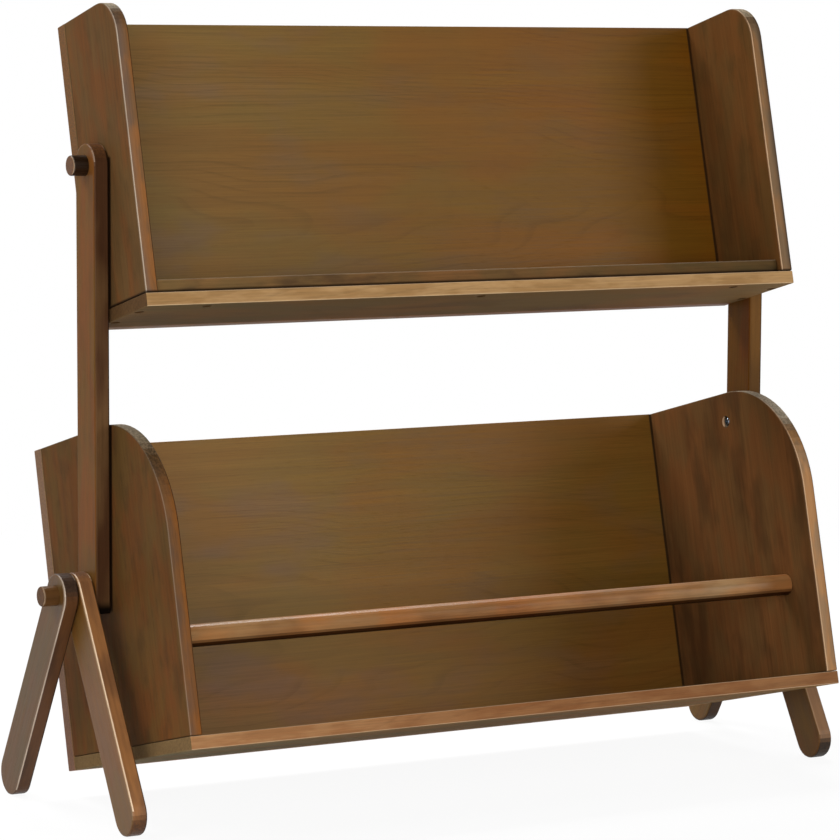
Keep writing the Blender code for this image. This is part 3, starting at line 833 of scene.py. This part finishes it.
# A part of the piece's name, its look, and whether it is round. The first that fits counts.
LOOKS = (
    ("upper_back_panel", BACK, False),
    ("lower_back_panel", LOWER_BACK, False),
    ("upper_bottom_panel", BOTTOM, False),
    ("lower_bottom_panel", LOWER_BOTTOM, False),
    ("lower_side_left", LOWER_LEFT_SIDE, False),
    ("lower_side_right", LOWER_RIGHT_SIDE, False),
    ("upper_side_left", SIDE, False),
    ("upper_side_right", UPPER_RIGHT_SIDE, False),
    ("upper_lip", LIP, False),
    ("lower_rail", RAIL, True),
    ("post_left", POST, False),
    ("post_right", RIGHT_POST, False),
    ("front_leg_left", BAR, False),
    ("front_leg_right", RIGHT_BAR, False),
    ("rear_leg_right", RIGHT_REAR, False),
    ("rear_leg", REAR, False),
    ("upper_peg", DARK_PEG, True),
    ("lower_peg", PEG, True),
    ("dowel", DOWEL, True),
)


def look_of(name):
    for part, look, is_round in LOOKS:
        if part in name:
            return look, is_round
    raise ValueError(f"no look for {name}")


def piece_wood(name, piece, seed, post_edge):
    """The piece's own wood, laid along its axes and measured from the middle of its box."""
    look, is_round = look_of(name)
    axes = piece_axes(name)
    low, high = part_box(name)
    origin = (Vector(low) + Vector(high)) / 2
    spots = [vertex.co - origin for vertex in piece.data.vertices]
    spans = [[spot.dot(axis) for spot in spots] for axis in axes]
    reach = [(min(span), max(span)) for span in spans]
    touch = post_edge if "side" in name else None
    return Wood(f"{name}_wood", look, axes, origin, reach, seed, is_round, touch).finished()


def dress(nodes):
    """One material for each piece of wood, and one for each kind of hardware."""
    bright = steel("zinc_steel", rgb(118, 126, 132), rgb(88, 96, 104))
    black = steel("black_oxide_steel", rgb(52, 48, 46), rgb(34, 31, 30))
    hardware = {"bolt": bright, "pin": bright, "screw": black, "washer": fibre()}
    post_low, post_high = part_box("post_left")
    post_edge = (post_low[1], post_low[2], post_high[2] - POST_ROUND)
    for index, name in enumerate(sorted(nodes)):
        piece = nodes[name]
        kind = next((word for word in hardware if word in name), None)
        material = hardware[kind] if kind else piece_wood(name, piece, index + 1.0, post_edge)
        piece.data.materials.clear()
        piece.data.materials.append(material)
        for face in piece.data.polygons:
            face.material_index = 0


def seen_rays(t):
    """1 for the rays that see the background: from the camera, off gloss and through glass."""
    path = t.node("LightPath").outputs
    rays = t.math("MAXIMUM", path["Is Camera Ray"], path["Is Glossy Ray"])
    return t.math("MAXIMUM", rays, path["Is Transmission Ray"])


def soft_floor():
    """A pale floor that keeps the rack's shadow and fades into the white background."""
    mesh = bpy.data.meshes.new("floor")
    sides = ((-1, -1), (1, -1), (1, 1), (-1, 1))
    corners = [(x * FLOOR_REACH, y * FLOOR_REACH, -FLOOR_DROP) for x, y in sides]
    mesh.from_pydata(corners, [], [(0, 1, 2, 3)])
    floor = bpy.data.objects.new("floor", mesh)
    bpy.context.scene.collection.objects.link(floor)
    t = material_tree("pale_floor")
    position = t.node("TexCoord").outputs["Object"]
    distance = t.vector("LENGTH", t.vector("MULTIPLY", position, (1, 1, 0)))
    paint = t.node("BsdfDiffuse", {"Color": FLOOR_PAINT}).outputs[0]
    soft = t.node("BsdfDiffuse", {"Color": FLOOR_SHADE}).outputs[0]
    glow = t.node("Emission", {"Color": WHITE, "Strength": FLOOR_GLOW}).outputs[0]
    white = t.node("Emission", {"Color": WHITE, "Strength": 1.0}).outputs[0]
    near = t.node("AddShader", {0: soft, 1: glow}).outputs[0]
    seen = t.node("MixShader", {0: t.remap(distance, *FLOOR_FADE), 1: near, 2: white}).outputs[0]
    shader = t.node("MixShader", {0: seen_rays(t), 1: paint, 2: seen}).outputs[0]
    floor.data.materials.append(t.done(shader))


def surroundings():
    """A world that looks white and lights the rack a little."""
    t = Tree(bpy.data.worlds.new("studio"), "OutputWorld")
    soft = t.node("Background", {"Color": WHITE, "Strength": WORLD_LIGHT}).outputs[0]
    white = t.node("Background", {"Color": WHITE, "Strength": 1.0}).outputs[0]
    shader = t.node("MixShader", {0: seen_rays(t), 1: soft, 2: white}).outputs[0]
    bpy.context.scene.world = t.done(shader)


def lamp(name, azimuth, elevation, size, watts):
    """A soft box that faces the rack. Azimuth 0 is straight ahead of it, and grows to its right."""
    aim = Vector(LAMP_AIM)
    turn, lift = math.radians(azimuth), math.radians(elevation)
    level = math.cos(lift)
    way = Vector((level * math.sin(turn), -level * math.cos(turn), math.sin(lift)))
    place = aim + LAMP_REACH * way
    light = bpy.data.lights.new(name, "AREA")
    light.shape, light.energy = "RECTANGLE", watts
    light.size, light.size_y = size
    piece = bpy.data.objects.new(name, light)
    piece.location, piece.visible_camera = place, False
    piece.rotation_euler = (aim - place).to_track_quat("-Z", "Y").to_euler()
    bpy.context.scene.collection.objects.link(piece)


def camera():
    """The photo's viewpoint, fitted to its edges and corners."""
    data = bpy.data.cameras.new("camera")
    data.sensor_width, data.lens = 36.0, 157.4
    data.shift_x, data.shift_y = -0.0251, 0.0561
    data.clip_start, data.clip_end = 0.1, 60.0
    made = bpy.data.objects.new("camera", data)
    right = Vector((0.8636596, -0.50404347, 0.0056806))
    up = Vector((0.05453316, 0.10463186, 0.99301476))
    forward = Vector((0.50111698, 0.85731695, -0.11785339))
    turn = Matrix((right, up, -forward)).transposed().to_4x4()
    made.matrix_world = Matrix.Translation((-2.13563, -3.65050, 0.86689)) @ turn
    bpy.context.scene.collection.objects.link(made)
    bpy.context.scene.camera = made


camera()
dress(NODES)
soft_floor()
surroundings()
for setting in LAMPS:
    lamp(*setting)
bpy.context.scene.view_settings.view_transform = "Standard"
